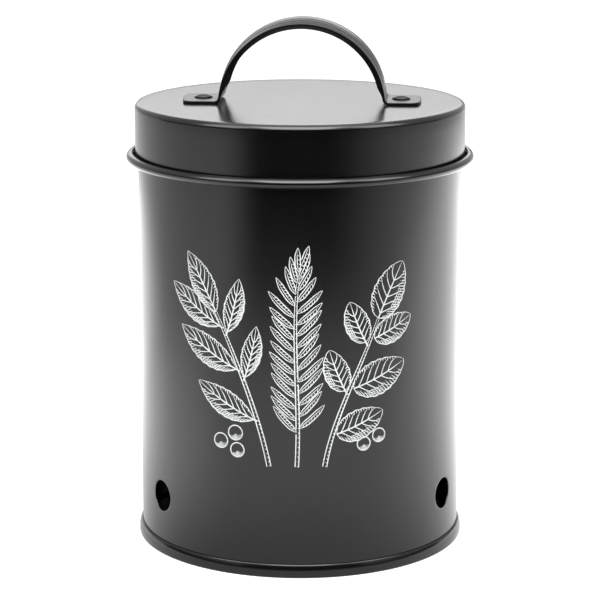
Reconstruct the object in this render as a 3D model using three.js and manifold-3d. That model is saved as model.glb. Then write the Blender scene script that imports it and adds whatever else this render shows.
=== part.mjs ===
// Garlic keeper: a pressed steel canister with vent holes, a slip-over lid whose lower
// edge is rolled outwards, and a strap handle held to the lid by two domed rivets.
// Millimetres, +Z up. The origin is the centre of the base, on the surface it stands on.
// The front of the canister faces -Y.

import * as THREE from 'three';
import { mergeVertices } from 'three/addons/utils/BufferGeometryUtils.js';
import Module from 'manifold-3d';

const wasm = await Module();
wasm.setup();

// Sheet and clearances
const sheet = 0.5;
const seamGap = 0.3;
const restGap = 0.3;
const fitGap = 0.2;

// Canister wall
const bodyRadius = 60.0;
const bodyHeight = 163.5;
const rimCurlDiameter = 2.4;
const rimCurlEnd = 235;

// Vent holes through the wall, evenly spaced, two of them either side of the front
const ventDiameter = 11.5;
const ventHeight = 22.0;
const ventCount = 3;
const firstVentAngle = 60;

// Base, rolled onto the wall as a double seam
const seamThickness = 1.0;
const seamHeight = 5.0;
const seamFloor = 0.8;
const seamCorner = 0.8;
const chuckEdge = 0.6;
const floorHeight = 3.0;
const floorBend = 0.4;

// Lid, its rolled edge and its free play around the wall
const lidPlay = 0.5;
const lidDepth = 21.8;
const lidCorner = 1.5;
const lidCurlWidth = 3.8;
const lidCurlHeight = 3.5;
const lidCurlEnd = 459;
const lidTurn = -5.6;

// Strap handle
const strapWidth = 20.8;
const strapThickness = 1.4;
const strapCrown = 1.6;
const archInnerRadius = 29.1;
const fingerGap = 28.0;
const bendInnerRadius = 1.2;
const footLength = 12.5;
const footCorner = 1.6;
const handleOffset = 0.8;

// Rivets, their axes measured from where the flat of a foot begins
const rivetInset = 5.1;
const rivetHeadDiameter = 7.0;
const rivetHeadHeight = 1.3;
const rivetHeadEdge = 0.25;
const rivetShankDiameter = 3.2;
const upsetHeadDiameter = 5.2;
const upsetHeadHeight = 0.8;
const upsetHeadChamfer = 0.4;

// How finely the round stretches are divided
const roundSteps = 64;
const rivetSteps = 20;
const holeSteps = 28;
const cornerSteps = 3;
const curlSteps = 10;
const archSteps = 12;
const bendSteps = 4;
const widthSteps = 6;
const domeSteps = 5;
const cutOverrun = 3.0;

// Heights and radii that follow from the sizes above
const lidTop = bodyHeight + restGap + sheet;
const lidBottom = lidTop - lidDepth;
const lidInnerRadius = bodyRadius + lidPlay;
const archCentreZ = lidTop + fingerGap - archInnerRadius;
const footMiddleZ = lidTop + fitGap + strapThickness / 2;
const archMiddle = archInnerRadius + strapThickness / 2;
const bendMiddle = bendInnerRadius + strapThickness / 2;
const bendZ = footMiddleZ + bendMiddle;
const bendX = Math.sqrt((archMiddle + bendMiddle) ** 2 - (bendZ - archCentreZ) ** 2);
const footEndRadius = bendX + footLength;
const rivetX = bendX + rivetInset;
const rivetHoleDiameter = rivetShankDiameter + 2 * fitGap;

const radians = THREE.MathUtils.degToRad;

// Points of a round or oval stretch around (r, z), from one angle to another in degrees
function arc(r, z, radiusR, radiusZ, from, to, steps) {
  const points = [];
  for (let i = 0; i <= steps; i += 1) {
    const angle = radians(from + ((to - from) * i) / steps);
    points.push(new THREE.Vector2(r + radiusR * Math.cos(angle), z + radiusZ * Math.sin(angle)));
  }
  return points;
}

// Unit vector to the left of the way from one point to the next
function leftOf(from, to) {
  const way = to.clone().sub(from).normalize();
  return new THREE.Vector2(-way.y, way.x);
}

// Closed outline of a sheet of even thickness around its middle line
function sheetOutline(middle, thickness) {
  const right = [];
  const left = [];
  middle.forEach((point, i) => {
    const before = leftOf(middle[Math.max(i - 1, 0)], middle[Math.max(i, 1)]);
    const last = middle.length - 1;
    const after = leftOf(middle[Math.min(i, last - 1)], middle[Math.min(i + 1, last)]);
    const mitre = before.clone().add(after).normalize();
    const reach = thickness / 2 / mitre.dot(after);
    right.push(point.clone().addScaledVector(mitre, -reach));
    left.push(point.clone().addScaledVector(mitre, reach));
  });
  return [...right, ...left.reverse()];
}

// Turned shape of an outline given as radius and height, closed on itself or on the axis
function revolve(outline, steps) {
  const profile = outline[0].x === 0 ? outline : [...outline, outline[0]];
  return new THREE.LatheGeometry(profile, steps).rotateX(Math.PI / 2);
}

// Solid with shared corners, without the flat slivers that a turned shape has on its axis
function solidOf(geometry) {
  const bare = geometry.clone();
  bare.deleteAttribute('normal');
  bare.deleteAttribute('uv');
  const merged = mergeVertices(bare);
  const corners = merged.index.array;
  const kept = [];
  for (let i = 0; i < corners.length; i += 3) {
    const [a, b, c] = corners.slice(i, i + 3);
    if (a !== b && b !== c && c !== a) kept.push(a, b, c);
  }
  const vertProperties = merged.attributes.position.array;
  const triVerts = Uint32Array.from(kept);
  return new wasm.Manifold(new wasm.Mesh({ numProp: 3, vertProperties, triVerts }));
}

function geometryOf(solid) {
  const { vertProperties, triVerts } = solid.getMesh();
  const geometry = new THREE.BufferGeometry();
  geometry.setAttribute('position', new THREE.BufferAttribute(vertProperties, 3));
  geometry.setIndex(new THREE.BufferAttribute(triVerts, 1));
  geometry.computeVertexNormals();
  return geometry;
}

// Upright round cutter through the lid or a foot, centred on the given height
function rivetHole(x, z) {
  const length = strapThickness + 2 * cutOverrun;
  const cutter = new THREE.CylinderGeometry(
    rivetHoleDiameter / 2, rivetHoleDiameter / 2, length, rivetSteps);
  return solidOf(cutter.rotateX(Math.PI / 2).translate(x, 0, z));
}

function ventCutter(angle) {
  const length = sheet + 2 * cutOverrun;
  const cutter = new THREE.CylinderGeometry(ventDiameter / 2, ventDiameter / 2, length, holeSteps);
  cutter.translate(0, sheet / 2 - bodyRadius, 0);
  return solidOf(cutter.rotateZ(radians(angle)).translate(0, 0, ventHeight));
}

// Wall from the bottom of the seam up to the rim, which curls inwards and stays open
function bodyShell() {
  const curlRadius = rimCurlDiameter / 2;
  const curlMiddle = curlRadius - sheet / 2;
  const middle = [
    new THREE.Vector2(bodyRadius - sheet / 2, seamFloor + seamGap),
    ...arc(bodyRadius - curlRadius, bodyHeight - curlRadius,
      curlMiddle, curlMiddle, 0, rimCurlEnd, curlSteps),
  ];
  let shell = solidOf(revolve(sheetOutline(middle, sheet), roundSteps));
  for (let i = 0; i < ventCount; i += 1) {
    shell = shell.subtract(ventCutter(firstVentAngle + (360 * i) / ventCount));
  }
  return geometryOf(shell);
}

// Sunk floor, chuck wall inside the canister wall, and the rolled ring outside it
function basePan() {
  const chuckOuter = bodyRadius - sheet - seamGap;
  const chuckInner = chuckOuter - sheet;
  const ringInner = bodyRadius + seamGap;
  const ringOuter = ringInner + seamThickness;
  const turnR = chuckInner - floorBend;
  const turnZ = floorHeight - floorBend;
  const outerBend = floorBend + sheet;
  const ringR = ringOuter - seamCorner;
  const outline = [
    new THREE.Vector2(0, floorHeight),
    ...arc(turnR, turnZ, floorBend, floorBend, 90, 0, cornerSteps),
    ...arc(chuckInner + chuckEdge, chuckEdge, chuckEdge, chuckEdge, 180, 270, cornerSteps),
    ...arc(ringR, seamCorner, seamCorner, seamCorner, 270, 360, cornerSteps),
    ...arc(ringR, seamHeight - seamCorner, seamCorner, seamCorner, 0, 90, cornerSteps),
    new THREE.Vector2(ringInner, seamHeight),
    new THREE.Vector2(ringInner, seamFloor),
    new THREE.Vector2(chuckOuter, seamFloor),
    ...arc(turnR, turnZ, outerBend, outerBend, 0, 90, cornerSteps),
    new THREE.Vector2(0, floorHeight + sheet),
  ];
  return geometryOf(solidOf(revolve(outline, roundSteps)));
}

// Flat top, wall, and lower edge rolled out, up and back towards the wall without touching it
function lidCap() {
  const wallMiddle = lidInnerRadius + sheet / 2;
  const cornerMiddle = lidCorner + sheet / 2;
  const curlR = lidInnerRadius + lidCurlWidth / 2;
  const curlZ = lidBottom + lidCurlHeight / 2;
  const middle = [
    new THREE.Vector2(0, lidTop - sheet / 2),
    ...arc(wallMiddle - cornerMiddle, lidTop - sheet / 2 - cornerMiddle,
      cornerMiddle, cornerMiddle, 90, 0, cornerSteps),
    ...arc(curlR, curlZ, (lidCurlWidth - sheet) / 2, (lidCurlHeight - sheet) / 2,
      180, lidCurlEnd, curlSteps),
  ];
  const cap = solidOf(revolve(sheetOutline(middle, sheet), roundSteps));
  return geometryOf(cap
    .subtract(rivetHole(handleOffset - rivetX, lidTop))
    .subtract(rivetHole(handleOffset + rivetX, lidTop)));
}

// Stations along the middle line of the strap, from the top of the arch to the end of a foot.
// Each gives its place, the tilt of its upper face, its half width, its crown and how far
// its line across the strap follows the curved end of the foot.
function halfStrap() {
  const steepest = Math.atan2(bendX, bendZ - archCentreZ);
  const halfWidth = strapWidth / 2;
  const stations = [];
  for (let i = 0; i <= archSteps; i += 1) {
    const tilt = (steepest * i) / archSteps;
    const x = archMiddle * Math.sin(tilt);
    const z = archCentreZ + archMiddle * Math.cos(tilt);
    const crown = (strapCrown * (Math.cos(tilt) - Math.cos(steepest))) / (1 - Math.cos(steepest));
    stations.push({ x, z, tilt, halfWidth, crown, bow: 0 });
  }
  for (let i = 1; i <= bendSteps; i += 1) {
    const tilt = steepest * (1 - i / bendSteps);
    const x = bendX - bendMiddle * Math.sin(tilt);
    const z = bendZ - bendMiddle * Math.cos(tilt);
    stations.push({ x, z, tilt, halfWidth, crown: 0, bow: 0 });
  }
  for (let i = 0; i <= cornerSteps; i += 1) {
    const angle = (Math.PI / 2) * (i / cornerSteps);
    const x = footEndRadius - footCorner * (1 - Math.sin(angle));
    const narrowed = halfWidth - footCorner * (1 - Math.cos(angle));
    stations.push({ x, z: footMiddleZ, tilt: 0, halfWidth: narrowed, crown: 0, bow: 1 });
  }
  return stations;
}

// Point on the upper or lower face of the strap, at a share of the half width
function strapPoint(station, side, across, face) {
  const y = across * station.halfWidth;
  const lift = face * strapThickness / 2 + station.crown * (1 - across * across);
  const bowed = station.bow * (footEndRadius - Math.sqrt(footEndRadius ** 2 - y * y));
  const x = station.x - bowed + lift * Math.sin(station.tilt);
  return [side * x, y, station.z + lift * Math.cos(station.tilt)];
}

// Closed skin of the strap: a ring of points at each station and a strip over each end
function strapGeometry() {
  const half = halfStrap();
  const stations = [
    ...half.slice(1).reverse().map((station) => ({ station, side: -1 })),
    ...half.map((station) => ({ station, side: 1 })),
  ];
  const perRing = 2 * (widthSteps + 1);
  const points = [];
  for (const { station, side } of stations) {
    for (let j = 0; j < perRing; j += 1) {
      const upper = j <= widthSteps;
      const step = upper ? j : perRing - 1 - j;
      points.push(...strapPoint(station, side, (2 * step) / widthSteps - 1, upper ? 1 : -1));
    }
  }
  const index = [];
  const quad = (a, b, c, d) => index.push(a, b, c, a, c, d);
  for (let k = 0; k < stations.length - 1; k += 1) {
    for (let j = 0; j < perRing; j += 1) {
      const here = k * perRing;
      const next = here + perRing;
      const beside = (j + 1) % perRing;
      quad(here + j, next + j, next + beside, here + beside);
    }
  }
  const lastRing = (stations.length - 1) * perRing;
  for (let j = 0; j < widthSteps; j += 1) {
    const under = perRing - 1 - j;
    quad(j, j + 1, under - 1, under);
    quad(lastRing + j, lastRing + under, lastRing + under - 1, lastRing + j + 1);
  }
  const geometry = new THREE.BufferGeometry();
  geometry.setAttribute('position', new THREE.Float32BufferAttribute(points, 3));
  geometry.setIndex(index);
  return geometry;
}

function lidHandle() {
  return geometryOf(solidOf(strapGeometry())
    .subtract(rivetHole(-rivetX, footMiddleZ))
    .subtract(rivetHole(rivetX, footMiddleZ)));
}

// Rivet around its own axis, with height zero on the outer face of the lid
function rivet() {
  const shank = rivetShankDiameter / 2;
  const head = rivetHeadDiameter / 2;
  const upset = upsetHeadDiameter / 2;
  const headBottom = fitGap + strapThickness + fitGap;
  const upsetTop = -sheet - fitGap;
  const upsetBottom = upsetTop - upsetHeadHeight;
  const rise = rivetHeadHeight - rivetHeadEdge;
  const domeRadius = (head * head + rise * rise) / (2 * rise);
  const domeCentre = headBottom + rivetHeadHeight - domeRadius;
  const domeEdge = THREE.MathUtils.radToDeg(Math.acos(head / domeRadius));
  const dome = arc(0, domeCentre, domeRadius, domeRadius, domeEdge, 90, domeSteps);
  dome[domeSteps].x = 0;
  const outline = [
    new THREE.Vector2(0, upsetBottom),
    new THREE.Vector2(upset - upsetHeadChamfer, upsetBottom),
    new THREE.Vector2(upset, upsetBottom + upsetHeadChamfer),
    new THREE.Vector2(upset, upsetTop),
    new THREE.Vector2(shank, upsetTop),
    new THREE.Vector2(shank, headBottom),
    new THREE.Vector2(head, headBottom),
    ...dome,
  ];
  return geometryOf(solidOf(revolve(outline, rivetSteps)));
}

// Black satin finish, baked on over the steel
function blackFinish() {
  return new THREE.MeshStandardMaterial({ color: 0x1a1a1b, roughness: 0.35, metalness: 0.0 });
}

function piece(name, geometry, x = 0, z = 0) {
  const mesh = new THREE.Mesh(geometry, blackFinish());
  mesh.name = name;
  mesh.position.set(x, 0, z);
  return mesh;
}

function lid() {
  const group = new THREE.Group();
  group.add(
    piece('lid_cap', lidCap()),
    piece('lid_handle', lidHandle(), handleOffset),
    piece('rivet_left', rivet(), handleOffset - rivetX, lidTop),
    piece('rivet_right', rivet(), handleOffset + rivetX, lidTop),
  );
  group.rotation.z = radians(lidTurn);
  return group;
}

const keeper = new THREE.Group();
keeper.add(piece('body_shell', bodyShell()), piece('base_pan', basePan()), lid());

export default keeper;
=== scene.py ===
# %% [markdown]
# # A black steel garlic keeper
#
# The object is a canister of thin sheet steel with vent holes, a slip-over lid and a strap
# handle, all under one black satin finish, with a white print on the front. The packed
# model is the frame: it gives every piece its size and place. Each cell below makes one
# piece or one finish a little finer than the frame has it, and never moves it.

import math
import random

import bpy
from mathutils import Matrix, Vector


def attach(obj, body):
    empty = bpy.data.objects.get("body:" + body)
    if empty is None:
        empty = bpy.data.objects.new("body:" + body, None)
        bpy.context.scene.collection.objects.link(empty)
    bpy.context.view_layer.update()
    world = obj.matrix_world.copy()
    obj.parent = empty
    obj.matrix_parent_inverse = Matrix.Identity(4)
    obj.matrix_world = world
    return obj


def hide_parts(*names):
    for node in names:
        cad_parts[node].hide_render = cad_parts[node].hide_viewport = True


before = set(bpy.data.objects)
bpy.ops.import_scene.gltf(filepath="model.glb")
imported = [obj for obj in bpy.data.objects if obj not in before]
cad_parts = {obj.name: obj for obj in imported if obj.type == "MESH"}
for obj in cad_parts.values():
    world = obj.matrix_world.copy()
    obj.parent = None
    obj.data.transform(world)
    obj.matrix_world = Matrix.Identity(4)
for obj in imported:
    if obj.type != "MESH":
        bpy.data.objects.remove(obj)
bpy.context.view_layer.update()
print("frame nodes:", ", ".join(sorted(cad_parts)))

# %% [markdown]
# ## The camera
#
# A product photograph of an upright canister is taken with a long lens from a little above
# the lid, so that the walls stay nearly parallel and the lid shows as a flat ellipse. A
# wide lens up close would splay the walls. Distance, height and focal length below give
# the ellipses of the lid, its rolled edge and the base the openness that they should have.

# %% Camera
MM = 0.001
LENS_MM = 144.0
SENSOR_MM = 36.0
FAR_CLIP = 100.0
CAMERA_DISTANCE = 0.880
CAMERA_HEIGHT = 0.2907
CAMERA_TURN = math.radians(-1.9)
CAMERA_PITCH = math.radians(12.92)

camera_data = bpy.data.cameras.new("camera")
camera_data.lens = LENS_MM
camera_data.sensor_width = SENSOR_MM
camera_data.clip_end = FAR_CLIP
camera = bpy.data.objects.new("camera", camera_data)
camera.location = (math.sin(CAMERA_TURN) * CAMERA_DISTANCE,
                   -math.cos(CAMERA_TURN) * CAMERA_DISTANCE,
                   CAMERA_HEIGHT)
camera.rotation_euler = (math.pi / 2 - CAMERA_PITCH, 0.0, CAMERA_TURN)
bpy.context.scene.collection.objects.link(camera)
bpy.context.scene.camera = camera
bpy.context.scene.view_settings.view_transform = "Standard"
print("camera at", [round(x, 3) for x in camera.location])

# %% [markdown]
# ## Materials as node trees
#
# A finish is a small tree of nodes. Writing each node by hand takes five lines, so one
# helper adds a node, sets it and joins it up. Colours are written as hex values, the way a
# paint chart or an image editor gives them, and one function turns them to the linear
# numbers that the renderer works in.

# %% Node and colour helpers
def linear_colour(hex_value):
    """Turns an sRGB colour such as "#1a1a1b" into linear red, green, blue and alpha."""
    parts = [int(hex_value[i:i + 2], 16) / 255 for i in (1, 3, 5)]
    linear = [p / 12.92 if p <= 0.04045 else ((p + 0.055) / 1.055) ** 2.4 for p in parts]
    return linear + [1.0]


def add_node(tree, kind, inputs=None, **settings):
    """Adds a node. inputs gives each socket a value or the socket that feeds it."""
    node = tree.nodes.new(kind)
    for name, value in settings.items():
        setattr(node, name, value)
    for socket, value in (inputs or {}).items():
        if isinstance(value, bpy.types.NodeSocket):
            tree.links.new(value, node.inputs[socket])
        else:
            node.inputs[socket].default_value = value
    return node


def new_material(name):
    """Gives an empty material and its tree, ready for nodes."""
    material = bpy.data.materials.new(name)
    material.use_nodes = True
    material.node_tree.nodes.clear()
    return material, material.node_tree


print("the darkest pigment in linear light:", [round(c, 4) for c in linear_colour("#050506")])

# %% [markdown]
# ## The black satin finish
#
# Sheet-steel kitchen ware like this is sprayed and baked. The coat is a clear resin full
# of black pigment: the pigment gives a near-black body, and the smooth resin over it a
# weak, slightly blurred mirror. So the shader is a dielectric with a dark base, an index
# of 1.5 as all such resins have, and a roughness of about a fifth. Sprayed paint never
# dries dead flat. It keeps a faint ripple called orange peel, some 2 to 3 mm from crest to
# crest, and a finer tooth. Both go in as bump, because they bend the reflections and
# leave the colour alone. The strap of the handle is rolled and bent before it is sprayed,
# and its worked surface leaves the coat duller than on the smooth drawn sheet.

# %% Black baked finish
RESIN_INDEX = 1.5
PIGMENT_HEX = ("#050506", "#090909")
SATIN_ROUGHNESS = 0.192
DULL_ROUGHNESS = 0.28
GLOSS_SPREAD = 0.011
PEEL_MM, PEEL_DEPTH_MM = 2.6, 0.002
TOOTH_MM, TOOTH_DEPTH_MM = 0.45, 0.001
MOTTLE_MM = 14.0


def baked_enamel(name, roughness):
    """The black coat on a sheet, with the roughness of its glossiest places."""
    material, tree = new_material(name)
    place = add_node(tree, "ShaderNodeTexCoord").outputs["Object"]
    peel = add_node(tree, "ShaderNodeTexNoise",
                    {"Vector": place, "Scale": 1 / (PEEL_MM * MM),
                     "Detail": 1.0, "Roughness": 0.4})
    tooth = add_node(tree, "ShaderNodeTexNoise",
                     {"Vector": place, "Scale": 1 / (TOOTH_MM * MM),
                      "Detail": 2.0, "Roughness": 0.6})
    mottle = add_node(tree, "ShaderNodeTexNoise",
                      {"Vector": place, "Scale": 1 / (MOTTLE_MM * MM),
                       "Detail": 3.0, "Roughness": 0.55})
    # The pigment settles a little unevenly, which the eye reads as depth in the black
    body_colour = add_node(tree, "ShaderNodeMix",
                           {"Factor": mottle.outputs["Fac"],
                            "A": linear_colour(PIGMENT_HEX[0]),
                            "B": linear_colour(PIGMENT_HEX[1])}, data_type="RGBA")
    # Handling and spray density vary the gloss slightly, so highlights are not dead even
    gloss = add_node(tree, "ShaderNodeMapRange",
                     {"Value": mottle.outputs["Fac"], "From Min": 0.3, "From Max": 0.7,
                      "To Min": roughness, "To Max": roughness + GLOSS_SPREAD})
    peel_bump = add_node(tree, "ShaderNodeBump",
                         {"Height": peel.outputs["Fac"], "Strength": 1.0,
                          "Distance": PEEL_DEPTH_MM * MM})
    tooth_bump = add_node(tree, "ShaderNodeBump",
                          {"Height": tooth.outputs["Fac"], "Strength": 1.0,
                           "Distance": TOOTH_DEPTH_MM * MM,
                           "Normal": peel_bump.outputs["Normal"]})
    enamel = add_node(tree, "ShaderNodeBsdfPrincipled",
                      {"Base Color": body_colour.outputs[2],
                       "Roughness": gloss.outputs["Result"],
                       "Normal": tooth_bump.outputs["Normal"], "IOR": RESIN_INDEX})
    add_node(tree, "ShaderNodeOutputMaterial", {"Surface": enamel.outputs["BSDF"]})
    return material


black_enamel = baked_enamel("black_baked_satin_enamel", SATIN_ROUGHNESS)
strap_enamel = baked_enamel("dull_black_baked_enamel", DULL_ROUGHNESS)
print("finishes:", black_enamel.name, strap_enamel.name)

# %% [markdown]
# ## The white print
#
# The picture on the front is screen-printed ink: titanium white in a matt binder, some
# hundredths of a millimetre thick. It covers well but not perfectly, so its white is broken
# by a faint grain where the mesh of the screen let less ink through.

# %% Screen-printed white ink
SCREEN_GRAIN_MM, GRAIN_DEPTH_MM = 0.5, 0.01
INK_HEX = ("#cfd2d2", "#f1f3f2")
INK_ROUGHNESS = 0.6

white_ink, tree = new_material("matt_screen_print_white")
place = add_node(tree, "ShaderNodeTexCoord").outputs["Object"]
grain = add_node(tree, "ShaderNodeTexNoise",
                 {"Vector": place, "Scale": 1 / (SCREEN_GRAIN_MM * MM), "Detail": 2.0})
cover = add_node(tree, "ShaderNodeMapRange",
                 {"Value": grain.outputs["Fac"], "From Min": 0.35, "From Max": 0.6})
ink_colour = add_node(tree, "ShaderNodeMix",
                      {"Factor": cover.outputs["Result"], "A": linear_colour(INK_HEX[0]),
                       "B": linear_colour(INK_HEX[1])}, data_type="RGBA")
ink_bump = add_node(tree, "ShaderNodeBump",
                    {"Height": grain.outputs["Fac"], "Strength": 1.0,
                     "Distance": GRAIN_DEPTH_MM * MM})
ink_shader = add_node(tree, "ShaderNodeBsdfPrincipled",
                      {"Base Color": ink_colour.outputs[2], "Roughness": INK_ROUGHNESS,
                       "Normal": ink_bump.outputs["Normal"], "IOR": RESIN_INDEX})
add_node(tree, "ShaderNodeOutputMaterial", {"Surface": ink_shader.outputs["BSDF"]})
print("ink:", white_ink.name)

# %% [markdown]
# ## Turning sheet metal
#
# Wall, base and lid are round, and each is one sheet of steel bent to a profile. The
# natural way is to draw half of the section as a chain of points and spin it round the
# axis. A plane merged to one vertex is the start of the chain, and each extrude adds a
# point. A sheet is drawn as its middle line, and Solidify then gives it its thickness, so
# bends keep an even wall and the cut edges come out square.

# %% Profile and turning helpers
MERGE_MM = 0.001


def bend_points(centre_r, centre_z, radius_r, radius_z, start, end, steps):
    """Points round an oval bend, in millimetres and degrees, from start to end."""
    points = []
    for i in range(steps + 1):
        angle = math.radians(start + (end - start) * i / steps)
        points.append((centre_r + radius_r * math.cos(angle),
                       centre_z + radius_z * math.sin(angle)))
    return points


def spun(name, profile, steps):
    """Turns a profile of (radius, height) points in millimetres into a round skin."""
    bpy.ops.object.select_all(action="DESELECT")
    bpy.ops.mesh.primitive_plane_add(size=MM, location=(0, 0, 0))
    piece = bpy.context.object
    piece.name = piece.data.name = name
    bpy.ops.object.mode_set(mode="EDIT")
    bpy.ops.mesh.select_mode(type="VERT")
    bpy.ops.mesh.merge(type="CENTER")
    bpy.ops.transform.translate(value=(profile[0][0] * MM, 0, profile[0][1] * MM))
    for (r, z), (next_r, next_z) in zip(profile, profile[1:]):
        bpy.ops.mesh.extrude_vertices_move(
            TRANSFORM_OT_translate={"value": ((next_r - r) * MM, 0, (next_z - z) * MM)})
    bpy.ops.mesh.select_all(action="SELECT")
    bpy.ops.mesh.spin(steps=steps, angle=math.tau, center=(0, 0, 0), axis=(0, 0, 1))
    bpy.ops.mesh.select_all(action="SELECT")
    bpy.ops.mesh.remove_doubles(threshold=MERGE_MM * MM)
    bpy.ops.mesh.normals_make_consistent(inside=False)
    bpy.ops.object.mode_set(mode="OBJECT")
    return piece


print("merging distance:", MERGE_MM, "mm")

# %% Modifier and finishing helpers
SHARP_EDGE = math.radians(50)
SMOOTH_UP_TO = math.radians(32)


def apply_modifier(piece, kind, **settings):
    """Adds a modifier with its settings and applies it at once."""
    bpy.context.view_layer.objects.active = piece
    modifier = piece.modifiers.new(kind.lower(), kind)
    for name, value in settings.items():
        setattr(modifier, name, value)
    bpy.ops.object.modifier_apply(modifier=modifier.name)


def give_sheet(piece, thickness, edge):
    """Makes a skin a sheet of even thickness and eases its cut edges, in millimetres."""
    apply_modifier(piece, "SOLIDIFY", thickness=thickness * MM, offset=0.0, use_even_offset=True)
    apply_modifier(piece, "BEVEL", width=edge * MM, segments=2, limit_method="ANGLE",
                   angle_limit=SHARP_EDGE, use_clamp_overlap=False)


def finish_piece(piece, body, node, material):
    """Smooths a finished piece, paints it and hands it to its place in the frame."""
    bpy.ops.object.select_all(action="DESELECT")
    piece.select_set(True)
    bpy.context.view_layer.objects.active = piece
    bpy.ops.object.transform_apply(location=True, rotation=True, scale=True)
    bpy.ops.object.shade_smooth_by_angle(angle=SMOOTH_UP_TO)
    piece.data.materials.clear()
    piece.data.materials.append(material)
    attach(piece, body)
    if node:
        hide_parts(node)
    print(f"{piece.name}: {len(piece.data.polygons)} faces")


print("smooth up to", round(math.degrees(SMOOTH_UP_TO)), "degrees")

# %% [markdown]
# ## The canister wall
#
# The wall is a strip of 0.5 mm sheet rolled to a tube, with its rim curled inwards so
# that no raw edge meets the hand. The vents are punched before rolling. Cutting them here
# with a boolean would leave long thin faces, and a glossy curved wall shows those as
# dents. So the wall is turned with a fine grid of faces where the vents sit. Each vent
# opens a square patch of that grid, and a ring of faces is bridged from the square to a
# circle and pushed back to the wall's radius. The gloss then runs on undisturbed to the
# edge of the hole.

# %% Turn the wall
SHEET = 0.5
WALL_R = 59.75
WALL_FOOT_Z = 1.1
SEAM_TOP_Z = 5.0
WALL_STEPS = 384
VENT_Z = 22.0
VENT_R = 5.75
VENT_ANGLES = (-30.0, -150.0, 90.0)
RIM_CURL_R, RIM_CURL_Z = 58.8, 162.3
RIM_CURL_RADIUS = 0.95

vent_band = [(WALL_R, VENT_Z + k) for k in range(-10, 11)]
upper_wall = [(WALL_R, z) for z in (48, 64, 80, 96, 112, 128, 144, 157)]
rim_curl = bend_points(RIM_CURL_R, RIM_CURL_Z, RIM_CURL_RADIUS, RIM_CURL_RADIUS, 0, 235, 16)
wall_line = [(WALL_R, WALL_FOOT_Z), (WALL_R, SEAM_TOP_Z)] + vent_band + upper_wall + rim_curl
canister_wall = spun("canister_wall", wall_line, WALL_STEPS)
print("wall skin:", len(canister_wall.data.polygons), "faces")

# %% Open the vents
VENT_POINTS = 64
BRIDGE_CUTS = 4
# Half of the patch that is opened, in degrees round the wall and in millimetres up it
PATCH_HALF_ANGLE, PATCH_HALF_HEIGHT = 7.5, 8.0
# Reach from the vent's centre that holds the patch's edge, and the new faces
EDGE_REACH, NEW_FACE_REACH = 14.0, 13.0


def boundary_edges(piece):
    """Indices of the edges that fewer than two faces share."""
    uses = {}
    for face in piece.data.polygons:
        for key in face.edge_keys:
            uses[key] = uses.get(key, 0) + 1
    return {edge.index for edge in piece.data.edges if uses.get(edge.key, 0) < 2}


def open_vent(wall, angle):
    """Opens a square patch of the wall and bridges it to a circle of as many points."""
    outward = Vector((math.cos(math.radians(angle)), math.sin(math.radians(angle)), 0))
    sideways = Vector((-outward.y, outward.x, 0))
    centre = outward * WALL_R * MM + Vector((0, 0, VENT_Z * MM))
    bpy.ops.object.select_all(action="DESELECT")
    wall.select_set(True)
    bpy.context.view_layer.objects.active = wall
    bpy.ops.object.mode_set(mode="EDIT")
    bpy.ops.mesh.select_mode(type="FACE")
    bpy.ops.mesh.select_all(action="DESELECT")
    bpy.ops.object.mode_set(mode="OBJECT")
    for face in wall.data.polygons:
        away = face.center - centre
        across = math.degrees(math.atan2(face.center.dot(sideways), face.center.dot(outward)))
        face.select = abs(across) < PATCH_HALF_ANGLE and abs(away.z) < PATCH_HALF_HEIGHT * MM
    bpy.ops.object.mode_set(mode="EDIT")
    bpy.ops.mesh.delete(type="FACE")
    bpy.ops.object.mode_set(mode="OBJECT")
    kept = len(wall.data.vertices)
    bpy.ops.object.mode_set(mode="EDIT")
    bpy.ops.mesh.select_mode(type="VERT")
    bpy.ops.mesh.select_all(action="DESELECT")
    bpy.ops.mesh.primitive_circle_add(
        vertices=VENT_POINTS, radius=VENT_R * MM, location=centre,
        rotation=(math.pi / 2, 0, math.radians(angle + 90)))
    bpy.ops.object.mode_set(mode="OBJECT")
    rim = {v.index for v in wall.data.vertices if v.index >= kept}
    open_edges = boundary_edges(wall)
    for edge in wall.data.edges:
        start = wall.data.vertices[edge.vertices[0]]
        near = (start.co - centre).length < EDGE_REACH * MM
        edge.select = edge.index in open_edges and (near or start.index in rim)
    bpy.ops.object.mode_set(mode="EDIT")
    bpy.ops.mesh.select_mode(type="EDGE")
    bpy.ops.mesh.bridge_edge_loops(number_cuts=BRIDGE_CUTS, interpolation="LINEAR")
    bpy.ops.object.mode_set(mode="OBJECT")
    for vertex in wall.data.vertices:
        if (vertex.co - centre).length < NEW_FACE_REACH * MM:
            flat = Vector((vertex.co.x, vertex.co.y, 0)).normalized() * WALL_R * MM
            vertex.co = Vector((flat.x, flat.y, vertex.co.z))


for vent_angle in VENT_ANGLES:
    open_vent(canister_wall, vent_angle)
print("wall with vents:", len(canister_wall.data.polygons), "faces")

# %% [markdown]
# ## The side weld
#
# A rolled wall meets itself somewhere, and the maker turns that seam to the back, where a
# narrow weld shows as a faint raised line under the finish. A column of faces pushed out
# by a tenth of a millimetre is enough to break the reflection as the real one does.

# %% Raise the weld
WELD_ANGLE, WELD_HALF_ANGLE = 113.0, 0.6
WELD_RISE = 0.10
WELD_TOP_Z = 161
WALL_EDGE = 0.2

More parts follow.
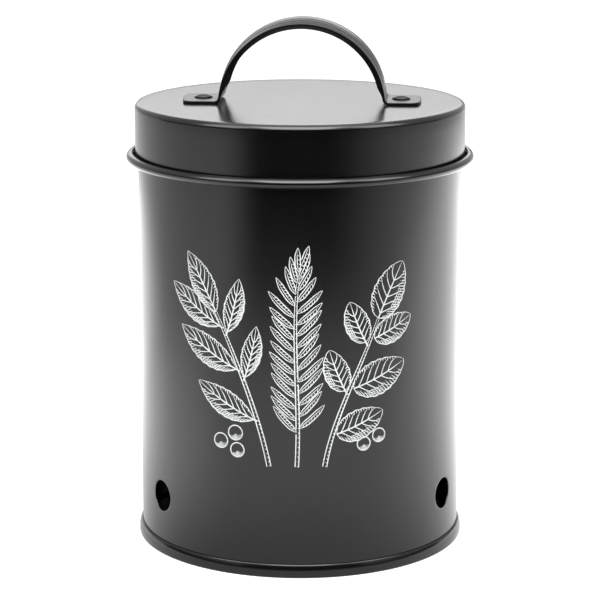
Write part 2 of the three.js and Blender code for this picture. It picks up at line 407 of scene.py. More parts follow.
weld_columns = set()
for vertex in canister_wall.data.vertices:
    angle = math.degrees(math.atan2(vertex.co.y, vertex.co.x))
    if abs(angle - WELD_ANGLE) < WELD_HALF_ANGLE and vertex.co.z < WELD_TOP_Z * MM:
        flat = Vector((vertex.co.x, vertex.co.y, 0))
        vertex.co += flat.normalized() * WELD_RISE * MM
        weld_columns.add(round(angle, 2))
give_sheet(canister_wall, SHEET, WALL_EDGE)
finish_piece(canister_wall, "canister", "body_shell", black_enamel)
print("weld columns at", sorted(weld_columns))

# %% [markdown]
# ## The base
#
# The bottom is a pressed pan. Its edge is folded with the end of the wall and rolled flat
# in a double seam, the same joint that closes a food can, and that ring is what the
# canister stands on. Its section is not of even thickness, so it is drawn as a closed
# outline and turned as it is. The roller leaves its upper half rounded inwards, so the
# ring shows a line of light on its shoulder, a dark band, and a grey one below.

# %% Turn the base pan
PAN_FLOOR_Z = 3.0
PAN_RADII = (0.0, 20.0, 40.0)
RING_INNER_R = 60.08
RING_FOOT_Z = 0.8
BASE_STEPS = 256

under_floor = [(r, PAN_FLOOR_Z) for r in PAN_RADII]
over_floor = [(r, PAN_FLOOR_Z + SHEET) for r in reversed(PAN_RADII)]
pan_bend_under = bend_points(58.3, 2.6, 0.4, 0.4, 90, 0, 5)
pan_bend_over = bend_points(58.3, 2.6, 0.9, 0.9, 0, 90, 6)
foot_inside = bend_points(59.3, 0.6, 0.6, 0.6, 180, 270, 6)
foot_outside = bend_points(60.5, 0.8, 0.8, 0.8, 270, 360, 8)
ring_side = bend_points(57.7, 2.177, 3.6, 3.6, 0, 8, 3)
rounded_in = bend_points(54.036, 1.662, 7.3, 7.3, 10, 24, 5)
ring_shoulder = bend_points(60.157, 4.387, 0.6, 0.6, 30, 90, 7)
ring_lip = bend_points(60.15, 4.917, 0.07, 0.07, 90, 180, 3)
base_outline = (under_floor + pan_bend_under + foot_inside + foot_outside + ring_side
                + rounded_in + ring_shoulder + ring_lip
                + [(RING_INNER_R, RING_FOOT_Z), (59.2, RING_FOOT_Z)]
                + pan_bend_over + over_floor)
base_seam_pan = spun("base_seam_pan", base_outline, BASE_STEPS)
finish_piece(base_seam_pan, "canister", "base_pan", black_enamel)

# %% [markdown]
# ## The lid
#
# The lid is drawn from one disc: a flat top, a tight corner, a wall that slips over the
# canister, and a lower edge rolled outwards into an open curl that stiffens it. The curl
# is almost round and stops just short of the wall, which leaves the dark slot
# seen above it. One middle line and Solidify give all of that. The two rivet holes are
# cut by a boolean: they lie in the flat top under the handle, where thin faces do no harm.

# %% Turn the lid
LID_TURN = math.radians(-5.6)
LID_MIDDLE_Z = 164.05
LID_WALL_R = 60.75
LID_STEPS = 320
LID_EDGE = 0.1

flat_top = [(r, LID_MIDDLE_Z) for r in (0.0, 20.0, 40.0, 56.0)]
lid_corner = bend_points(59.0, 162.3, 1.75, 1.75, 90, 0, 10)
lid_wall = [(LID_WALL_R, z) for z in (158.0, 152.0, 147.0)]
lid_curl = bend_points(62.4, 144.25, 1.65, 1.5, 180, 459, 32)
slip_lid = spun("slip_lid", flat_top + lid_corner + lid_wall + lid_curl, LID_STEPS)
give_sheet(slip_lid, SHEET, LID_EDGE)
print("lid sheet:", len(slip_lid.data.polygons), "faces")

# %% Drill the lid for its rivets
HANDLE_OFFSET = 0.8
RIVET_X = 36.56
RIVET_HOLE_R = 1.8
DRILL_LENGTH = 4.0


def cut_round_hole(piece, x, z):
    """Drills an upright hole for a rivet through a piece, at a place in millimetres."""
    bpy.ops.object.select_all(action="DESELECT")
    bpy.ops.mesh.primitive_cylinder_add(vertices=40, radius=RIVET_HOLE_R * MM,
                                        depth=DRILL_LENGTH * MM, location=(x * MM, 0, z * MM))
    drill = bpy.context.object
    apply_modifier(piece, "BOOLEAN", object=drill, operation="DIFFERENCE", solver="EXACT")
    bpy.data.objects.remove(drill)


for side in (-1, 1):
    cut_round_hole(slip_lid, HANDLE_OFFSET + side * RIVET_X, LID_MIDDLE_Z)
slip_lid.rotation_euler.z = LID_TURN
finish_piece(slip_lid, "lid", "lid_cap", black_enamel)

# %% [markdown]
# ## The strap handle
#
# The handle starts as a flat strip of 1 mm steel. The maker cuts it with rounded corners
# and stiffens the part that will be the arch: a crown and two pairs of fine grooves are
# rolled along it, and its edges are turned down, which makes them look thicker than the
# feet. Then the strip is bent into an arch with two feet. It is made here in the same
# order. A grid is shaped flat and Solidify makes it a strip. The grooves are pressed into
# its outer side, its edges are lowered on the under side, and Bevel eases them. A Curve
# modifier then bends it along the handle's line. Shaping before bending keeps the grooves
# straight on the strip.

# %% Measure the handle
STRAP_WIDTH = 20.8
STRAP_THICKNESS = 1.0
ARCH_CENTRE_Z = 163.2
ARCH_R = 30.2
ARCH_SHIFT = 0.35
BEND_R = 1.9
FOOT_Z = 164.84
FOOT_END_R = 43.96
BEND_Z = FOOT_Z + BEND_R
BEND_X = math.sqrt((ARCH_R + BEND_R) ** 2 - (BEND_Z - ARCH_CENTRE_Z) ** 2)

steepest = math.atan2(BEND_X, BEND_Z - ARCH_CENTRE_Z)
arch_length = ARCH_R * steepest
bend_length = BEND_R * steepest
foot_length = FOOT_END_R - BEND_X
half_length = arch_length + bend_length + foot_length
print(f"strip: {2 * half_length:.1f} mm long, arch to {math.degrees(steepest):.1f} degrees")

# %% Shape the flat strip
CORNER_R = 2.6
CROWN = 1.4
CROWN_FULLNESS = 0.65
CROWN_RUN = 6.0
FOOT_BOW_SHARE = 0.3
ROWS, COLUMNS = 280, 96


def ease(x):
    """Smooth step from 0 to 1."""
    x = min(max(x, 0.0), 1.0)
    return x * x * (3 - 2 * x)


def strip_place(along, across):
    """Place on the flat strip, in millimetres, for shares from -1 to 1 both ways.

    The arch was bent a little off the middle of the strip, so one foot is the longer.
    """
    side = -1 if along < 0 else 1
    plain = half_length - CORNER_R
    reach = abs(along) * (plain + CORNER_R * math.pi / 2)
    narrowing = 0.0
    if reach > plain:
        turn = (reach - plain) / CORNER_R
        narrowing = CORNER_R * (1 - math.cos(turn))
        reach = plain + CORNER_R * math.sin(turn)
    y = across * (STRAP_WIDTH / 2 - narrowing)
    from_top = abs(side * reach - ARCH_SHIFT)
    in_foot = ease((from_top - arch_length - bend_length) / (FOOT_BOW_SHARE * foot_length))
    bow = in_foot * (FOOT_END_R - math.sqrt(FOOT_END_R ** 2 - y * y))
    tilt = min(from_top / ARCH_R, steepest)
    fade = max(0.0, math.cos(tilt) - math.cos(steepest)) / (1 - math.cos(steepest))
    run_out = ease((arch_length - from_top) / CROWN_RUN)
    crown = CROWN * fade ** CROWN_FULLNESS * run_out * (1 - across * across)
    return side * (reach - bow), y, crown


bpy.ops.object.select_all(action="DESELECT")
bpy.ops.mesh.primitive_grid_add(x_subdivisions=ROWS, y_subdivisions=COLUMNS, size=2.0)
strap_handle = bpy.context.object
strap_handle.name = strap_handle.data.name = "strap_handle"
for vertex in strap_handle.data.vertices:
    x, y, z = strip_place(vertex.co.x, vertex.co.y)
    vertex.co = Vector((x + half_length, y, z)) * MM
skin_count = len(strap_handle.data.vertices)
apply_modifier(strap_handle, "SOLIDIFY", thickness=STRAP_THICKNESS * MM, offset=0.0)
print("strip skin:", skin_count, "points a side")

# %% Groove the strip and turn its edges down
# Place across the strip, depth and half width of each pair of grooves, in millimetres
GROOVES = ((4.7, 0.34, 0.60), (7.3, 0.26, 0.50))
GROOVE_RUN = 6.0
RIM_DROP = 1.05
RIM_WIDTH = 1.4
RIM_STEP = 0.6
RIM_RUN = 5.0
STRAP_EDGE = 0.2
STRAP_SHARP_EDGE = math.radians(60)

points = list(strap_handle.data.vertices)
outer_side, under_side = points[:skin_count], points[skin_count:]
if outer_side[0].co.z < under_side[0].co.z:
    outer_side, under_side = under_side, outer_side


def along_arch(vertex, run):
    """1 on the arch and 0 in the feet, easing over a run in millimetres at its ends."""
    from_top = abs(vertex.co.x / MM - half_length - ARCH_SHIFT)
    return ease((arch_length - from_top) / run)


for vertex in outer_side:
    across = abs(vertex.co.y) / MM
    depth = sum(deepest * (1 - ease(abs(across - place) / half))
                for place, deepest, half in GROOVES)
    vertex.co.z -= depth * along_arch(vertex, GROOVE_RUN) * MM
for vertex in under_side:
    from_edge = STRAP_WIDTH / 2 - abs(vertex.co.y) / MM
    lowered = RIM_DROP * along_arch(vertex, RIM_RUN)
    vertex.co.z -= lowered * ease((RIM_WIDTH - from_edge) / RIM_STEP) * MM
apply_modifier(strap_handle, "BEVEL", width=STRAP_EDGE * MM, segments=3, limit_method="ANGLE",
               angle_limit=STRAP_SHARP_EDGE, use_clamp_overlap=False)
print("finished strip:", len(strap_handle.data.polygons), "faces")

# %% Bend the strip along the handle's line
def handle_line(along):
    """Point of the handle's middle line, in millimetres, at a length from its top."""
    side, reach = (-1, -along) if along < 0 else (1, along)
    if reach <= arch_length:
        tilt = reach / ARCH_R
        out, z = ARCH_R * math.sin(tilt), ARCH_CENTRE_Z + ARCH_R * math.cos(tilt)
    elif reach <= arch_length + bend_length:
        tilt = steepest - (reach - arch_length) / BEND_R
        out, z = BEND_X - BEND_R * math.sin(tilt), BEND_Z - BEND_R * math.cos(tilt)
    else:
        out, z = BEND_X + reach - arch_length - bend_length, FOOT_Z
    return ARCH_SHIFT + side * out, z


def spread(start, end, count):
    """Even steps from start up to, and without, end."""
    return [start + (end - start) * i / count for i in range(count)]


line_curve = bpy.data.curves.new("handle_line", "CURVE")
line_curve.dimensions = "3D"
line_curve.twist_mode = "Z_UP"
FOOT_STEPS, BEND_STEPS, ARCH_STEPS = 24, 40, 240
stations = (spread(-half_length - ARCH_SHIFT, -arch_length - bend_length, FOOT_STEPS)
            + spread(-arch_length - bend_length, -arch_length, BEND_STEPS)
            + spread(-arch_length, arch_length, ARCH_STEPS)
            + spread(arch_length, arch_length + bend_length, BEND_STEPS)
            + spread(arch_length + bend_length, half_length - ARCH_SHIFT, FOOT_STEPS)
            + [half_length - ARCH_SHIFT])
spline = line_curve.splines.new("POLY")
spline.points.add(len(stations) - 1)
for point, along in zip(spline.points, stations):
    x, z = handle_line(along)
    point.co = (x * MM, 0, z * MM, 1)
bend_guide = bpy.data.objects.new("handle_line", line_curve)
bpy.context.scene.collection.objects.link(bend_guide)
apply_modifier(strap_handle, "CURVE", object=bend_guide, deform_axis="POS_X")
bpy.data.objects.remove(bend_guide)
for side in (-1, 1):
    cut_round_hole(strap_handle, side * RIVET_X, FOOT_Z)
strap_handle.rotation_euler.z = LID_TURN
strap_handle.location = (HANDLE_OFFSET * MM * math.cos(LID_TURN),
                         HANDLE_OFFSET * MM * math.sin(LID_TURN), 0)
finish_piece(strap_handle, "lid", "lid_handle", strap_enamel)

# %% [markdown]
# ## The rivets
#
# Each foot is held by one rivet with a low domed head above and an upset head below. The
# head is what shows: a small dome that gathers the whole studio into a bright point and a
# dark crescent. It is turned like the sheet pieces, once, about the canister's axis, then
# moved out to the foot, and the second rivet is a copy with its own mesh.

# %% Turn a rivet and copy it
LID_TOP = 164.3
SHANK_R = 1.6
HEAD_R = 3.35
HEAD_UNDER_Z = 1.04
DOME_TOP_Z = 2.35
DOME_R = 6.68
UPSET_R = 2.6
UPSET_TOP_Z = -0.7

# Heights are counted from the lid's top, and the outline goes up from the upset head
dome_edge = math.degrees(math.acos(HEAD_R / DOME_R))
upset_head = ([(0.0, -1.5), (2.1, -1.5)] + bend_points(2.1, -1.0, 0.5, 0.5, 270, 360, 4)
              + [(UPSET_R, UPSET_TOP_Z)])
shank = [(SHANK_R, UPSET_TOP_Z), (SHANK_R, HEAD_UNDER_Z), (3.25, HEAD_UNDER_Z)]
head_edge = (bend_points(3.25, 1.14, 0.10, 0.10, 270, 360, 3)
             + bend_points(3.22, 1.38, 0.13, 0.13, 0, 50, 4))
dome = bend_points(0, DOME_TOP_Z - DOME_R, DOME_R, DOME_R, dome_edge + 2, 90, 12)
rivet_outline = [(r, z + LID_TOP) for r, z in upset_head + shank + head_edge + dome]
rivet = spun("left_rivet", rivet_outline, 64)
rivet.location.x = -RIVET_X * MM
bpy.ops.object.duplicate()
second_rivet = bpy.context.object
second_rivet.name = second_rivet.data.name = "right_rivet"
second_rivet.location.x = RIVET_X * MM
for piece, node in ((rivet, "rivet_left"), (second_rivet, "rivet_right")):
    out = HANDLE_OFFSET * MM + piece.location.x
    piece.location = (out * math.cos(LID_TURN), out * math.sin(LID_TURN), 0)
    finish_piece(piece, "lid", node, black_enamel)

# %% [markdown]
# ## The drawing on the front
#
# The print is a generic kitchen motif, three herb sprigs drawn like an old engraving: an
# outline, a midrib, and fine hatching that thickens where a leaf turns into shade. An
# image texture would blur up close, so each pen stroke is a real ribbon of ink instead.
# It is kept as points with a width, in millimetres on flat paper, and thins towards its
# ends as a nib's line does. A leaf in front hides what is drawn behind it later.

# %% A pen that thins its lines and hides what lies behind
HAND_SEED = 7

pen_strokes = []
drawn_shapes = []
hand = random.Random(HAND_SEED)


def turned(degrees, length=1.0):
    """A step on the paper in a direction, counted from the right hand side upwards."""
    angle = math.radians(degrees)
    return Vector((math.cos(angle), math.sin(angle))) * length


def is_hidden(point):
    """True where a shape drawn earlier covers the paper."""
    for centre, reach, rim in drawn_shapes:
        if (point - centre).length > reach:
            continue
        inside = False
        for a, b in zip(rim, rim[1:] + rim[:1]):
            if (a.y > point.y) != (b.y > point.y):
                if point.x < a.x + (b.x - a.x) * (point.y - a.y) / (b.y - a.y):
                    inside = not inside
        if inside:
            return True
    return False


def draw(points, width, start=0.3, end=0.3):
    """Draws a stroke, with its width at both ends given as shares of the full width."""
    run = []
    for i, point in enumerate(points):
        t = i / (len(points) - 1)
        full = min(1.0, start + (1 - start) * t / 0.3, end + (1 - end) * (1 - t) / 0.45)
        if is_hidden(point):
            pen_strokes.append(run)
            run = []
        else:
            run.append((point, width * full))
    pen_strokes.append(run)


def close_shape(rim):
    """Lets a finished shape cover what is drawn after it."""
    centre = sum(rim, Vector((0, 0))) / len(rim)
    drawn_shapes.append((centre, max((p - centre).length for p in rim), rim))


print("the hand's tremble starts from", HAND_SEED)

# %% A leaf
# Widths of the pen's strokes, in millimetres
SHADED_LINE, LIT_LINE, MIDRIB_LINE = 0.55, 0.38, 0.5
RIB_LINE, HATCH_LINE, LONG_HATCH_LINE = 0.34, 0.3, 0.26


def draw_leaf(base, heading, length, width, bend, blunt_base, blunt_tip, ribs, shade):
    """A leaf with ribs and hatching. shade is the side, 1 or -1, that lies in shadow."""
    way, side_way = turned(heading), turned(heading + 90)
    widest = blunt_base / (blunt_base + blunt_tip)
    top = widest ** blunt_base * (1 - widest) ** blunt_tip

    def spot(t, across):
        half = width / 2 * max(t, 0) ** blunt_base * max(1 - t, 0) ** blunt_tip / top
        lean = side_way - way * (2 * bend * t)
        curve = side_way * (length * bend * t * t)
        return base + way * (length * t) + curve + lean * (half * across)

    steps = max(12, int(length / 0.6))
    for side in (-1, 1):
        line = [spot(i / steps, side * (1 + 0.03 * math.sin(i * 1.3))) for i in range(steps + 1)]
        draw(line, SHADED_LINE if side == shade else LIT_LINE, 0.5, 0.4)
    draw([spot(0.97 * i / steps, 0) for i in range(steps + 1)], MIDRIB_LINE, 1.0, 0.2)
    for k in range(ribs):
        foot = 0.08 + 0.72 * k / ribs
        for side in (-1, 1):
            draw([spot(foot + 0.17 * s / 6 + 0.05 * (s / 6) ** 2, side * 0.86 * s / 6)
                  for s in range(7)], RIB_LINE, 1.0, 0.3)
    count = int(length * 0.9)
    for k in range(count):
        t = 0.05 + 0.88 * k / count
        for side in (-1, 1):
            depth = hand.uniform(0.34, 0.62) if side == shade else hand.uniform(0.1, 0.26)
            draw([spot(t - 0.1 * depth * s / 4, side * (0.97 - depth * s / 4)) for s in range(5)],
                 HATCH_LINE, 1.0, 0.2)
    for across in (0.86, 0.72, 0.58):
        first, span = hand.uniform(0.12, 0.2), hand.uniform(0.3, 0.5)
        draw([spot(first + span * s / 12, shade * across) for s in range(13)], LONG_HATCH_LINE)
    close_shape([spot(i / 14, -1.04) for i in range(15)]
                + [spot(i / 14, 1.04) for i in range(14, -1, -1)])


print("a leaf's lines:", SHADED_LINE, "to", LONG_HATCH_LINE, "mm")

# %% A needle and a berry
NEEDLE_LINE, CREASE_LINE, NEEDLE_HATCH_LINE = 0.36, 0.3, 0.24
BERRY_LINE, BERRY_HATCH_LINE = 0.42, 0.28


def draw_needle(base, heading, length, width, bend):
    """One narrow rosemary leaf, with a crease and a shaded edge."""
    way, side_way = turned(heading), turned(heading + 90)

    def spot(t, across):
        half = width / 2 * min(1, (t / 0.25) ** 0.6) * min(1, ((1 - t) / 0.3) ** 0.7)
        return base + way * (length * t) + side_way * (length * bend * t * t + half * across)

    steps = max(8, int(length / 0.9))
    for side in (-1, 1):
        draw([spot(i / steps, side) for i in range(steps + 1)], NEEDLE_LINE, 0.6, 0.5)
    draw([spot(0.08 + 0.8 * i / steps, 0.15) for i in range(steps + 1)], CREASE_LINE, 0.5, 0.2)
    count = int(length / 1.7)
    for k in range(count):
        t = 0.12 + 0.7 * k / count
        draw([spot(t, -0.95), spot(t + 0.02, -0.5), spot(t + 0.05, -0.1)],
             NEEDLE_HATCH_LINE, 1.0, 0.3)
    close_shape([spot(i / 8, -1.1) for i in range(9)]
                + [spot(i / 8, 1.1) for i in range(8, -1, -1)])


def draw_berry(centre, radius):
    """A round berry, hatched in arcs along its lower side."""
    draw([centre + turned(360 * i / 28, radius) for i in range(29)], BERRY_LINE, 1.0, 1.0)
    for k in range(5):
        start, end = -150 + 8 * k, -10 - 10 * k
        draw([centre + turned(start + (end - start) * s / 8, radius * (0.84 - 0.15 * k))
              for s in range(9)], BERRY_HATCH_LINE)
    close_shape([centre + turned(360 * i / 16, radius * 1.06) for i in range(16)])


print("a needle's and a berry's lines:", BERRY_LINE, "to", NEEDLE_HATCH_LINE, "mm")

# %% Stems
STEM_LINE, STEM_HATCH_LINE, STALK_LINE = 0.42, 0.24, 0.6


def stem_point(stem, t):
    """Place and heading on a stem given by four guide points."""
    a, b, c, d = stem
    s = 1 - t
    place = a * s ** 3 + b * (3 * t * s * s) + c * (3 * t * t * s) + d * t ** 3
    way = (b - a) * (s * s) + (c - b) * (2 * s * t) + (d - c) * (t * t)
    return place, math.degrees(math.atan2(way.y, way.x))


def draw_stem(stem, thick, thin):
    """Two edges and short hatching down the shaded one."""
    def spot(t, across):
        place, heading = stem_point(stem, t)
        return place + turned(heading + 90, across * (thick + (thin - thick) * t) / 2)

    for side in (-1, 1):
        draw([spot(i / 80, side) for i in range(81)], STEM_LINE, 0.8, 0.3)
    for i in range(40):
        draw([spot(i / 42, -0.95), spot(i / 42 + 0.002, -0.5), spot(i / 42 + 0.004, 0.0)],
             STEM_HATCH_LINE, 1.0, 0.3)


def guide_points(*places):
    """The guide points of a stem, in millimetres from the middle of the paper."""
    return [Vector(place) for place in places]


bay_stem = guide_points((-10, -39), (-14, -18), (-24, 4), (-30, 16))
sage_stem = guide_points((10, -39), (13, -20), (24, -2), (30, 14))
rosemary_stem = guide_points((0, -39), (1.5, -14), (-2.5, 10), (1.0, 33))
print("stem tips:", [tuple(stem[-1]) for stem in (bay_stem, rosemary_stem, sage_stem)])

# %% The rosemary sprig
NEEDLE_PAIRS = 15
NEEDLE_WIDTH = 1.9

for k in range(NEEDLE_PAIRS):
    for side in (1, -1):
        place, heading = stem_point(rosemary_stem, 1.0 - 0.058 * k - 0.02 * (side > 0))
        open_out = min(1, k / 4)
        heading += side * (18 + 34 * open_out + hand.uniform(-4, 4))
        draw_needle(place + turned(heading, 0.6), heading,
                    9 + 3.2 * open_out + hand.uniform(-0.8, 0.8), NEEDLE_WIDTH, -0.12 * side)
draw_stem(rosemary_stem, 1.3, 0.7)
print("pen strokes so far:", len(pen_strokes))

# %% The bay and sage sprigs, and the berries
# Share of the stem, degrees off it, length and side of each leaf
BAY_LEAVES = ((0.86, 38, 25, 1), (0.80, -44, 20, -1), (0.56, 44, 27, 1),
              (0.50, -40, 19, -1), (0.26, 50, 25, 1))
SAGE_LEAVES = ((0.84, -48, 17, -1), (0.80, 52, 16, 1), (0.50, -50, 22, -1),
               (0.47, 50, 16, 1), (0.20, -56, 19, -1))
# Place on the paper and radius
BERRIES = ((-22.5, -27.5, 2.7), (-28.3, -31.0, 2.7), (-21.8, -33.8, 2.6),
           (24.5, -31.5, 2.5), (30.5, -29.0, 2.5))


def draw_side_leaves(stem, leaves, stalk, width_share, blunt_base, blunt_tip, ribs):
    """The leaves down both sides of a stem, each on a short stalk."""
    for t, off, length, side in leaves:
        place, heading = stem_point(stem, t)
        start = place + turned(heading + off, stalk)
        draw_leaf(start, heading + off, length, length * width_share, -0.1 * side,
                  blunt_base, blunt_tip, ribs, side)
        draw([place, start], STALK_LINE, 1, 1)


place, heading = stem_point(bay_stem, 1.0)
draw_leaf(place, heading + 2, 24, 9.5, 0.04, 0.8, 0.95, 6, 1)
draw_side_leaves(bay_stem, BAY_LEAVES, 1.6, 0.37, 0.8, 0.95, 6)
draw_stem(bay_stem, 1.5, 0.8)

place, heading = stem_point(sage_stem, 1.0)
draw_leaf(place, heading - 4, 22, 12.5, -0.05, 0.55, 0.72, 5, -1)
draw_side_leaves(sage_stem, SAGE_LEAVES, 1.8, 0.56, 0.55, 0.72, 5)
draw_stem(sage_stem, 1.5, 0.8)

for x, y, radius in BERRIES:
    draw_berry(Vector((x, y)), radius)
pen_strokes = [run for run in pen_strokes if len(run) > 1]
print("pen strokes:", len(pen_strokes))

# %% [markdown]
# ## Ink on the wall
#
# Each stroke becomes a strip of faces as wide as the pen pressed it, and each point of it
# is carried from the paper to the wall: its place across the paper is a length along the
# wall's curve, so it turns into an angle. The film is 0.04 mm thick. Strokes that cross
# are set a few thousandths of a millimetre apart, so that no two faces lie in one place.

# %% Lay the strokes on the wall
PRINT_CENTRE_Z = 80.5
PRINT_TURN = math.radians(-3.0)
OUTER_WALL_R = 60.0
INK_MM = 0.04
INK_CLEARANCE = 0.01
LAYER_MM, LAYERS = 0.004, 5


def on_wall(point, lift):
    """Carries a point of the paper to the wall, lifted a little off it."""
    angle = PRINT_TURN + point.x / OUTER_WALL_R
    radius = (OUTER_WALL_R + lift) * MM
    return radius * math.sin(angle), -radius * math.cos(angle), (PRINT_CENTRE_Z + point.y) * MM


ink_points, ink_faces = [], []
for number, run in enumerate(pen_strokes):
    lift = INK_CLEARANCE + INK_MM / 2 + LAYER_MM * (number % LAYERS)
    for i, (point, width) in enumerate(run):
        before, after = run[max(i - 1, 0)][0], run[min(i + 1, len(run) - 1)][0]
        way = (after - before).normalized()
        across = Vector((-way.y, way.x)) * width / 2
        ink_points += [on_wall(point - across, lift), on_wall(point + across, lift)]
        if i:
            n = len(ink_points)
            ink_faces.append((n - 4, n - 2, n - 1, n - 3))
ink_mesh = bpy.data.meshes.new("herb_print")
ink_mesh.from_pydata(ink_points, [], ink_faces)
herb_print = bpy.data.objects.new("herb_print", ink_mesh)
bpy.context.scene.collection.objects.link(herb_print)
apply_modifier(herb_print, "SOLIDIFY", thickness=INK_MM * MM, offset=0.0)
finish_piece(herb_print, "canister", None, white_ink)

# %% [markdown]
# ## The floor, the lamps and the world
#
# A glossy black object shows little of itself and much of its surroundings, so the light
# is set for its reflections. A soft lamp above the camera draws the bright line along each
# rounded shoulder, a wide one overhead fills in, and a low panel behind makes the lid's
# top a pale sheet. Dark cards shape the rest. One lies on the floor in front and turns the
# middle of the wall black. Four stand around the keeper and give every rolled edge its
# dark core. Pools of light painted into the floor's glow make it brighter behind and to
# both sides, which lights the edges of the wall, and painted shade darkens it round the
# keeper's foot. The cards are out of the camera's sight, and it sees white all round.

# %% World
MIRRORED_WHITE = 0.72
SOFT_WHITE = 0.25

world = bpy.data.worlds.new("soft_studio")
bpy.context.scene.world = world
world.use_nodes = True
tree = world.node_tree
tree.nodes.clear()
ray = add_node(tree, "ShaderNodeLightPath")
mirrored = add_node(tree, "ShaderNodeMath",
                    {0: ray.outputs["Is Glossy Ray"], 1: MIRRORED_WHITE}, operation="MULTIPLY")
seen = add_node(tree, "ShaderNodeMath",
                {0: ray.outputs["Is Camera Ray"], 1: mirrored.outputs[0]}, operation="MAXIMUM")
strength = add_node(tree, "ShaderNodeMath", {0: seen.outputs[0], 1: SOFT_WHITE},
                    operation="MAXIMUM")
sky = add_node(tree, "ShaderNodeBackground",
               {"Color": (1, 1, 1, 1), "Strength": strength.outputs[0]})
add_node(tree, "ShaderNodeOutputWorld", {"Surface": sky.outputs["Background"]})
print("white of the room:", MIRRORED_WHITE, "in reflections,", SOFT_WHITE, "as light")

# %% Floor paper
FLOOR_SIZE = 40
FLOOR_GLOW = 0.85
# Centre, radius of the full glow, reach and strength of each pool, in metres. A positive
# strength paints a pool of light on the floor, and a negative one paints shade round the
# keeper's foot, which the lower wall reflects
FLOOR_LIGHT_AND_SHADE_POOLS = (((0.43, 0.33, 0), 0.25, 0.62, 1.78),
               ((-0.20, 0.42, 0), 0.15, 0.42, 1.3),
               ((-0.24, 0.0, 0), 0.06, 0.20, 0.85),
               ((0.0, 0.0, 0), 0.06, 0.22, -0.3),
               ((0.0, -0.06, 0), 0.02, 0.13, -0.3))

floor_paper, tree = new_material("white_paper_floor")
ray = add_node(tree, "ShaderNodeLightPath")
seen = add_node(tree, "ShaderNodeMath",
                {0: ray.outputs["Is Camera Ray"], 1: ray.outputs["Is Glossy Ray"]},
                operation="MAXIMUM")
seen = add_node(tree, "ShaderNodeMath",
                {0: seen.outputs[0], 1: ray.outputs["Is Transmission Ray"]},
                operation="MAXIMUM")
paper = add_node(tree, "ShaderNodeBsdfDiffuse", {"Color": linear_colour("#c8c8c8")})
shade = add_node(tree, "ShaderNodeBsdfDiffuse", {"Color": (0.45, 0.45, 0.45, 1)})
spot_on_floor = add_node(tree, "ShaderNodeTexCoord").outputs["Object"]
glow_and_painted_shade = FLOOR_GLOW
# Painted light and shade: the pools brighten the floor behind and beside the keeper and darken it
# round its foot
for centre, core, reach, gain in FLOOR_LIGHT_AND_SHADE_POOLS:
    away = add_node(tree, "ShaderNodeVectorMath", {0: spot_on_floor, 1: centre},
                    operation="DISTANCE")
    painted_pool = add_node(tree, "ShaderNodeMapRange",
                    {"Value": away.outputs["Value"], "From Min": core, "From Max": reach,
                     "To Min": gain, "To Max": 0.0}, interpolation_type="SMOOTHSTEP")
    glow_and_painted_shade = add_node(tree, "ShaderNodeMath",
                             {0: glow_and_painted_shade, 1: painted_pool.outputs["Result"]},
                             operation="ADD").outputs[0]
in_sight = add_node(tree, "ShaderNodeMath", {0: ray.outputs["Is Camera Ray"], 1: FLOOR_GLOW},
                    operation="MULTIPLY")
glow_and_painted_shade = add_node(tree, "ShaderNodeMath", {0: glow_and_painted_shade, 1: in_sight.outputs[0]},
                         operation="MAXIMUM").outputs[0]
glow = add_node(tree, "ShaderNodeEmission", {"Color": (1, 1, 1, 1), "Strength": glow_and_painted_shade})
lit = add_node(tree, "ShaderNodeAddShader", {0: shade.outputs[0], 1: glow.outputs[0]})
both = add_node(tree, "ShaderNodeMixShader",
                {0: seen.outputs[0], 1: paper.outputs[0], 2: lit.outputs[0]})
add_node(tree, "ShaderNodeOutputMaterial", {"Surface": both.outputs[0]})
print("floor paper:", len(FLOOR_LIGHT_AND_SHADE_POOLS), "pools on a glow of", FLOOR_GLOW)

# %% Lay the floor
def stage_plane(name, size_x, size_y, x, y, z):
    """A flat sheet of the studio, which is not part of the object."""
    bpy.ops.object.select_all(action="DESELECT")
    bpy.ops.mesh.primitive_plane_add(size=1.0, location=(x, y, z))
    sheet = bpy.context.object
    sheet.name = name
    sheet.scale = (size_x, size_y, 1)
    bpy.ops.object.transform_apply(location=True, rotation=True, scale=True)
    return sheet


floor = stage_plane("floor", FLOOR_SIZE, FLOOR_SIZE, 0, 0, 0)
floor.data.materials.append(floor_paper)
print("floor:", FLOOR_SIZE, "m each way")

# %% Card finishes
CARD_HEX = "#161616"
# Where the lying card is clear and where it is full: bearings, and metres from the axis
LEFT_FADE = (math.radians(-59), math.radians(-27))
RIGHT_FADE = (math.radians(82), math.radians(14))
NEAR_FADE = (0.30, 0.58)

card_black, tree = new_material("matt_black_card")
card_shader = add_node(tree, "ShaderNodeBsdfDiffuse", {"Color": linear_colour(CARD_HEX)})
add_node(tree, "ShaderNodeOutputMaterial", {"Surface": card_shader.outputs[0]})

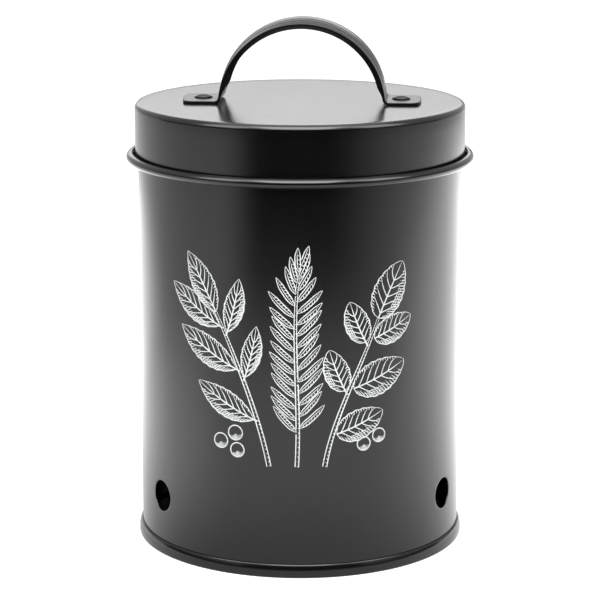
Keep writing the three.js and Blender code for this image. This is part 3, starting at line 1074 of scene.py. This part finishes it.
# The lying card thins out towards the keeper and, slowly, towards the right
graded_black, tree = new_material("graded_black_card")
spot_on_card = add_node(tree, "ShaderNodeTexCoord").outputs["Object"]
axes = add_node(tree, "ShaderNodeSeparateXYZ", {0: spot_on_card})
forward = add_node(tree, "ShaderNodeMath", {0: axes.outputs["Y"], 1: -1.0},
                   operation="MULTIPLY")
bearing = add_node(tree, "ShaderNodeMath", {0: axes.outputs["X"], 1: forward.outputs[0]},
                   operation="ARCTAN2").outputs[0]
from_axis = add_node(tree, "ShaderNodeVectorMath", {0: spot_on_card},
                     operation="LENGTH").outputs["Value"]
cover = 1.0
for value, (clear, full) in ((bearing, LEFT_FADE), (bearing, RIGHT_FADE), (from_axis, NEAR_FADE)):
    edge = add_node(tree, "ShaderNodeMapRange",
                    {"Value": value, "From Min": min(clear, full), "From Max": max(clear, full),
                     "To Min": float(clear > full), "To Max": float(clear < full)},
                    interpolation_type="SMOOTHSTEP")
    cover = add_node(tree, "ShaderNodeMath", {0: cover, 1: edge.outputs["Result"]},
                     operation="MULTIPLY").outputs[0]
clear_film = add_node(tree, "ShaderNodeBsdfTransparent")
black_film = add_node(tree, "ShaderNodeBsdfDiffuse", {"Color": linear_colour(CARD_HEX)})
graded = add_node(tree, "ShaderNodeMixShader",
                  {0: cover, 1: clear_film.outputs[0], 2: black_film.outputs[0]})
add_node(tree, "ShaderNodeOutputMaterial", {"Surface": graded.outputs[0]})
print("cards:", card_black.name, "and", graded_black.name)

# %% Dark cards
LYING_CARD = (10.0, 3.6, 0.5, -2.0, 0.002)
# Name, width, height, bearing from the front in degrees, and distance
STANDING_CARDS = (("front_dark_card", 6.4, 1.8, 0, 3.4),
                  ("left_dark_card", 4.4, 0.7, -75, 3.2),
                  ("right_dark_card", 4.4, 0.6, 75, 3.2),
                  ("back_dark_card", 0.80, 0.37, 175.5, 1.9))

lying_card = stage_plane("lying_dark_card", *LYING_CARD)
lying_card.data.materials.append(graded_black)
cards = [lying_card]
for name, width, height, bearing, distance in STANDING_CARDS:
    card = stage_plane(name, width, height, 0, 0, 0)
    card.data.transform(Matrix.Rotation(math.pi / 2, 4, "X"))
    card.data.transform(Matrix.Translation((0, -distance, height / 2)))
    card.data.transform(Matrix.Rotation(math.radians(bearing), 4, "Z"))
    card.data.materials.append(card_black)
    cards.append(card)
for card in cards:
    card.visible_camera = False
    card.visible_diffuse = False
    card.visible_shadow = False
print("dark cards:", ", ".join(card.name for card in cards))

# %% Lamps
KEEPER_MIDDLE = (0, 0, 0.16)
# Name, width, height, brightness, place and aim
LAMPS = (("front_softbox", 0.78, 0.92, 8.5, (-0.03, -0.58, 1.03), KEEPER_MIDDLE),
         ("left_strip", 0.6, 0.8, 5.0, (-0.76, -0.42, 0.95), KEEPER_MIDDLE),
         ("right_strip", 0.6, 0.8, 5.0, (0.76, -0.42, 0.95), KEEPER_MIDDLE),
         ("overhead_softbox", 0.9, 1.2, 1.2, (0, 0.3, 1.2), (0, 0.3, 0)),
         ("low_back_panel", 1.3, 0.62, 1.2, (0, 2.0, 0.64), KEEPER_MIDDLE))
# These carry the bright line round to the sides, and show only as reflections
REFLECTED_ONLY = ("left_strip", "right_strip")


def soft_lamp(name, size_x, size_y, radiance, place, aim):
    """A rectangular lamp of a given brightness, turned to face a point."""
    lamp = bpy.data.lights.new(name, "AREA")
    lamp.shape = "RECTANGLE"
    lamp.size, lamp.size_y = size_x, size_y
    lamp.energy = radiance * math.pi * size_x * size_y
    holder = bpy.data.objects.new(name, lamp)
    holder.location = place
    holder.rotation_euler = (Vector(aim) - Vector(place)).to_track_quat("-Z", "Y").to_euler()
    holder.visible_camera = False
    holder.visible_diffuse = name not in REFLECTED_ONLY
    bpy.context.scene.collection.objects.link(holder)
    print(f"{name}: {lamp.energy:.2f} W")


for lamp_row in LAMPS:
    soft_lamp(*lamp_row)
